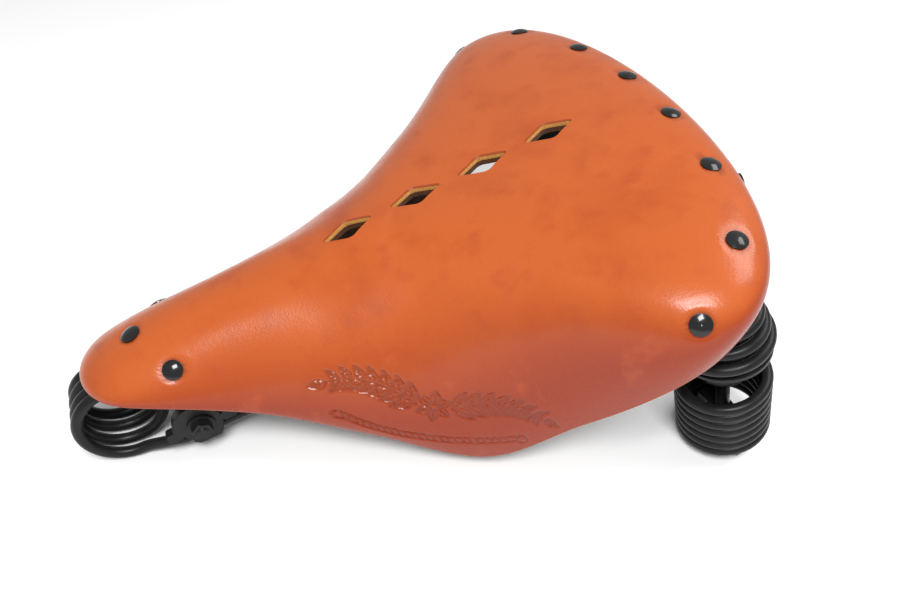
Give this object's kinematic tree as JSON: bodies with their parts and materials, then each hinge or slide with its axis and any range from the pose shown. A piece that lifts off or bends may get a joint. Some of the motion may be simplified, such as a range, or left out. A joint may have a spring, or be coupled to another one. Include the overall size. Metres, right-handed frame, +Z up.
{
  "type": "bicycle saddle",
  "caption": "Sprung leather bicycle saddle with riveted crown, diamond cut-outs, coil springs at nose and rear, and a seat post clamp.",
  "frame": {"origin": "on the seat post's axis, level with the clamp bolt", "axes": "+Z up, -Y towards the nose, +X towards the rider's left"},
  "size_m": [0.2348, 0.2944, 0.1249],
  "materials": {
    "saddle_leather": "burnished vegetable-tanned leather",
    "leather_flesh_side": "dark flesh side",
    "rivet_black": "gloss black",
    "spring_wire_black": "satin black",
    "plate_black": "satin black",
    "fastener_black": "black oxide"
  },
  "bodies": {
    "undercarriage": {"coil_anchor": "plate_black", "anchor_screws": "fastener_black", "cross_stay": "plate_black", "left_rail": "spring_wire_black", "left_lower_spring": "spring_wire_black", "left_spring_clip": "plate_black", "left_spring_seat": "plate_black", "right_rail": "spring_wire_black", "right_lower_spring": "spring_wire_black", "right_spring_clip": "plate_black", "right_spring_seat": "plate_black"},
    "seat_top": {"leather_top": "saddle_leather", "leather_lining": "leather_flesh_side", "cantle_plate": "plate_black", "nose_plate": "plate_black", "nose_hinge_pin": "fastener_black", "rear_rivets": "rivet_black", "rear_face_rivets": "rivet_black", "nose_rivets": "rivet_black", "left_upper_spring": "spring_wire_black", "left_spring_cap": "plate_black", "left_spring_bolt": "fastener_black", "left_foot_strap": "plate_black", "left_spring_nut": "fastener_black", "right_upper_spring": "spring_wire_black", "right_spring_cap": "plate_black", "right_spring_bolt": "fastener_black", "right_foot_strap": "plate_black", "right_spring_nut": "fastener_black"},
    "clamp_carriage": {"clamp_bolt": "fastener_black", "clamp_washers": "fastener_black", "left_inner_cheek": "plate_black", "left_outer_cheek": "plate_black", "right_inner_cheek": "plate_black", "right_outer_cheek": "plate_black"},
    "post_clamp": {"post_strap": "plate_black"},
    "left_nut": {"left_clamp_nut": "fastener_black"},
    "right_nut": {"right_clamp_nut": "fastener_black"}
  },
  "joints": [
    {"name": "suspension", "type": "hinge", "parent": "undercarriage", "child": "seat_top", "pos_m": [0, -0.019, 0.0263], "axis": [1, 0, 0], "range_deg": [-2.6, 0], "stiffness_Nm_per_rad": 2200, "deforming": ["left_upper_spring", "right_upper_spring", "left_lower_spring", "right_lower_spring"]},
    {"name": "clamp_slide", "type": "slide", "parent": "undercarriage", "child": "clamp_carriage", "axis": [0, 1, 0], "range_m": [0, 0.012]},
    {"name": "tilt", "type": "hinge", "parent": "clamp_carriage", "child": "post_clamp", "pos_m": [0, -0.021, 0], "axis": [1, 0, 0], "range_deg": [-12, 12]},
    {"name": "left_nut_turn", "type": "hinge", "parent": "clamp_carriage", "child": "left_nut", "pos_m": [0.0264, -0.021, 0], "axis": [1, 0, 0], "continuous": true},
    {"name": "right_nut_turn", "type": "hinge", "parent": "clamp_carriage", "child": "right_nut", "pos_m": [-0.0264, -0.021, 0], "axis": [1, 0, 0], "continuous": true}
  ]
}
